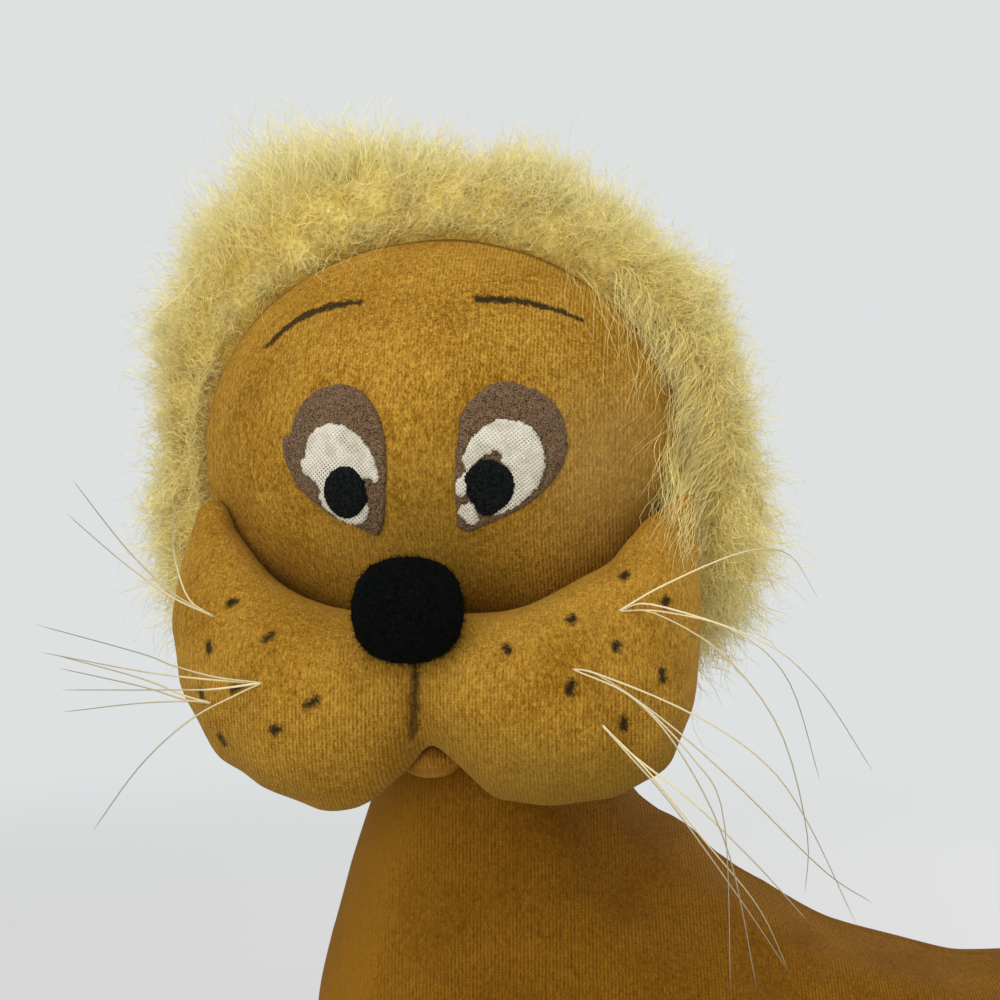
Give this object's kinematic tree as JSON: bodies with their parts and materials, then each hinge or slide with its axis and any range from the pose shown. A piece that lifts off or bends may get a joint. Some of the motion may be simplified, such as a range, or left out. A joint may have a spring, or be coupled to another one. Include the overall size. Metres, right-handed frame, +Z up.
{
  "type": "plush lion",
  "caption": "Lying stuffed toy lion in velour with a long-pile mane, felt eyes and nose, bristle whiskers, tucked legs and a tufted tail curled beside it.",
  "frame": {"origin": "middle of the flat patch the belly rests on, on the floor plane", "axes": "+Z up; front paws point to -X; the turned head faces -Y, over the lion's own left flank"},
  "size_m": [0.3802, 0.1947, 0.3134],
  "materials": {
    "velour": "matte",
    "pile": "matte",
    "stuffing": "matte",
    "black_felt": "matte",
    "brown_felt": "matte",
    "white_cloth": "matte",
    "bristle": "satin"
  },
  "bodies": {
    "root": {"trunk_cover": "velour", "trunk_stuffing": "stuffing", "front_leg_left": "velour", "front_leg_right": "velour", "thigh_left": "velour", "thigh_right": "velour", "hind_foot_left": "velour", "hind_foot_right": "velour", "tail": "velour", "tail_tuft": "pile", "head_stuffing": "stuffing", "face_panel": "velour", "mane": "pile", "muzzle": "velour", "chin": "velour", "nose": "black_felt", "eye_patch_left": "brown_felt", "eye_patch_right": "brown_felt", "eye_white_left": "white_cloth", "eye_white_right": "white_cloth", "eye_pupil_left": "black_felt", "eye_pupil_right": "black_felt", "whiskers_left_upper": "bristle", "whiskers_left_middle": "bristle", "whiskers_left_lower": "bristle", "whiskers_right_upper": "bristle", "whiskers_right_middle": "bristle", "whiskers_right_lower": "bristle"}
  },
  "joints": []
}
